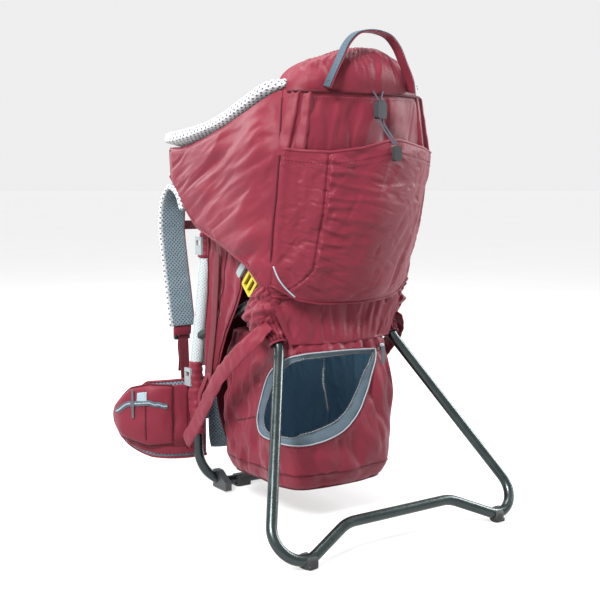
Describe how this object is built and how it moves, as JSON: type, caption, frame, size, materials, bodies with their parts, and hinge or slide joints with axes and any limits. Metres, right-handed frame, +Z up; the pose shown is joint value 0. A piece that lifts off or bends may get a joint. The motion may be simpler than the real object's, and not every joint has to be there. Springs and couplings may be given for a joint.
{
  "type": "baby carrier backpack",
  "caption": "Framed backpack that carries a seated child: bent tube frame, folding rear kickstand, padded cockpit, storage bag, shoulder harness and hip belt.",
  "frame": {"origin": "on the floor, in the middle of the footprint of the whole carrier", "axes": "+X across the carrier, to the right when seen from the rear; +Y towards the wearer; +Z up"},
  "size_m": [0.4614, 0.5647, 0.7438],
  "materials": {
    "tube_dark": "satin",
    "steel_bright": "satin",
    "plastic_dark": "matt",
    "button_red": "gloss",
    "rubber_black": "matt",
    "fabric_main": "woven polyester with a soft sheen",
    "mesh_light": "spacer mesh",
    "mesh_blue": "perforated spacer mesh",
    "webbing_red": "woven webbing",
    "webbing_blue": "woven webbing",
    "plastic_grey": "satin",
    "plastic_yellow": "gloss",
    "zip_grey": "satin",
    "zip_metal": "satin",
    "cord_grey": "braided cord",
    "cord_tab": "matt"
  },
  "bodies": {
    "carrier": {"back_mesh": "mesh_light", "base_pads": "rubber_black", "cockpit_pads": "mesh_light", "cockpit_shell": "fabric_main", "cord_end": "cord_tab", "drawcord": "cord_grey", "frame_fittings": "plastic_dark", "frame_sleeves": "fabric_main", "front_wall": "fabric_main", "harness_pads": "mesh_blue", "head_dome": "fabric_main", "hinge_brackets": "plastic_dark", "hinge_pins": "steel_bright", "hip_pockets": "fabric_main", "hip_socket": "plastic_dark", "hip_webbing_right": "webbing_red", "hip_wings": "mesh_blue", "inner_frame": "tube_dark", "kickstand_sleeves": "fabric_main", "length_track": "webbing_red", "lifter_webbings": "webbing_red", "lumbar_pad": "mesh_blue", "main_frame": "tube_dark", "mesh_buckles": "plastic_grey", "rear_pocket": "fabric_main", "rim_padding": "mesh_light", "side_bands": "webbing_red", "side_curtains": "fabric_main", "side_hooks": "plastic_grey", "storage_bag": "fabric_main", "strap_webbings": "webbing_red", "zip_tracks": "zip_grey"},
    "kickstand": {"kickstand_tube": "tube_dark", "kickstand_feet": "rubber_black", "sleeve_cuffs": "fabric_main"},
    "handle": {"grab_handle": "webbing_blue"},
    "zip_slider": {"bag_zip_slider": "zip_metal"},
    "zip_pull": {"bag_zip_pull": "zip_grey"},
    "lock_body": {"cord_lock": "plastic_dark"},
    "lock_button": {"cord_lock_button": "plastic_dark"},
    "seat": {"seat_pad": "fabric_main", "seat_board": "plastic_dark", "crotch_strap": "webbing_red", "harness_buckle": "plastic_dark"},
    "release_button": {"harness_button": "button_red"},
    "harness": {"yoke": "mesh_blue", "shoulder_straps": "mesh_blue", "strap_buckles": "plastic_dark", "lifter_buckles": "plastic_yellow"},
    "sternum": {"sternum_fittings": "plastic_dark", "sternum_webbing_left": "webbing_red", "sternum_webbing_right": "webbing_red"},
    "sternum_clip": {"sternum_plug": "plastic_dark"},
    "hip_clip": {"hip_plug": "plastic_dark"},
    "foot_strap_left": {"stirrup_left": "webbing_red"},
    "foot_strap_right": {"stirrup_right": "webbing_red"},
    "side_buckle_left": {"side_lock_left": "plastic_yellow"},
    "side_buckle_right": {"side_lock_right": "plastic_yellow"},
    "hip_zip_slider_left": {"hip_slider_left": "zip_grey"},
    "hip_zip_slider_right": {"hip_slider_right": "zip_grey"}
  },
  "joints": [
    {"name": "kickstand_fold", "type": "hinge", "parent": "carrier", "child": "kickstand", "pos_m": [0, -0.061, 0.33], "axis": [1, 0, 0], "range_deg": [0, 60]},
    {"name": "handle_flop", "type": "hinge", "parent": "carrier", "child": "handle", "pos_m": [0, -0.174, 0.661], "axis": [1, 0, 0], "range_deg": [0, 80], "stiffness_Nm_per_rad": 0.12},
    {"name": "bag_zip_run", "type": "hinge", "parent": "carrier", "child": "zip_slider", "pos_m": [0, 0.19859, 0.266], "axis": [0, 0, -1], "range_deg": [0, 24.5]},
    {"name": "zip_pull_swing", "type": "hinge", "parent": "zip_slider", "child": "zip_pull", "pos_m": [0.064, -0.1295, 0.267], "axis": [-1, 0, 0], "range_deg": [0, 90]},
    {"name": "cord_lock_slide", "type": "slide", "parent": "carrier", "child": "lock_body", "axis": [0, 0, -1], "range_m": [0, 0.012], "deforming": ["drawcord"]},
    {"name": "cord_lock_press", "type": "slide", "parent": "lock_body", "child": "lock_button", "axis": [0, 0, -1], "range_m": [0, 0.003], "stiffness_N_per_m": 400, "springref_m": -0.001},
    {"name": "seat_height", "type": "slide", "parent": "carrier", "child": "seat", "axis": [0, 0, 1], "range_m": [0, 0.04]},
    {"name": "harness_release", "type": "slide", "parent": "seat", "child": "release_button", "axis": [0, -1, 0], "range_m": [0, 0.0018], "stiffness_N_per_m": 600},
    {"name": "back_length", "type": "slide", "parent": "carrier", "child": "harness", "axis": [0, -0.0765, 0.9971], "range_m": [-0.05, 0], "deforming": ["strap_webbings", "lifter_webbings"]},
    {"name": "sternum_height", "type": "slide", "parent": "harness", "child": "sternum", "axis": [0, 0, 1], "range_m": [-0.03, 0.03]},
    {"name": "sternum_release", "type": "slide", "parent": "sternum", "child": "sternum_clip", "axis": [1, 0, 0], "range_m": [0, 0.02], "deforming": ["sternum_webbing_right"]},
    {"name": "hip_release", "type": "slide", "parent": "carrier", "child": "hip_clip", "axis": [1, 0, 0], "range_m": [0, 0.03], "deforming": ["hip_webbing_right"]},
    {"name": "stirrup_left_swing", "type": "hinge", "parent": "carrier", "child": "foot_strap_left", "pos_m": [-0.1331, 0.046, 0.41], "axis": [-1, 0, 0], "range_deg": [0, 15]},
    {"name": "stirrup_right_swing", "type": "hinge", "parent": "carrier", "child": "foot_strap_right", "pos_m": [0.1331, 0.046, 0.41], "axis": [-1, 0, 0], "range_deg": [0, 15]},
    {"name": "side_lock_left_tip", "type": "hinge", "parent": "carrier", "child": "side_buckle_left", "pos_m": [-0.1337, -0.0452, 0.38241], "axis": [0, 0.694, -0.72], "range_deg": [0, 35]},
    {"name": "side_lock_right_tip", "type": "hinge", "parent": "carrier", "child": "side_buckle_right", "pos_m": [0.1337, -0.0452, 0.38241], "axis": [0, -0.694, 0.72], "range_deg": [0, 35]},
    {"name": "hip_zip_left_run", "type": "slide", "parent": "carrier", "child": "hip_zip_slider_left", "axis": [-0.5639, 0.8258, 0], "range_m": [0, 0.02]},
    {"name": "hip_zip_right_run", "type": "slide", "parent": "carrier", "child": "hip_zip_slider_right", "axis": [0.5639, 0.8258, 0], "range_m": [0, 0.02]}
  ]
}
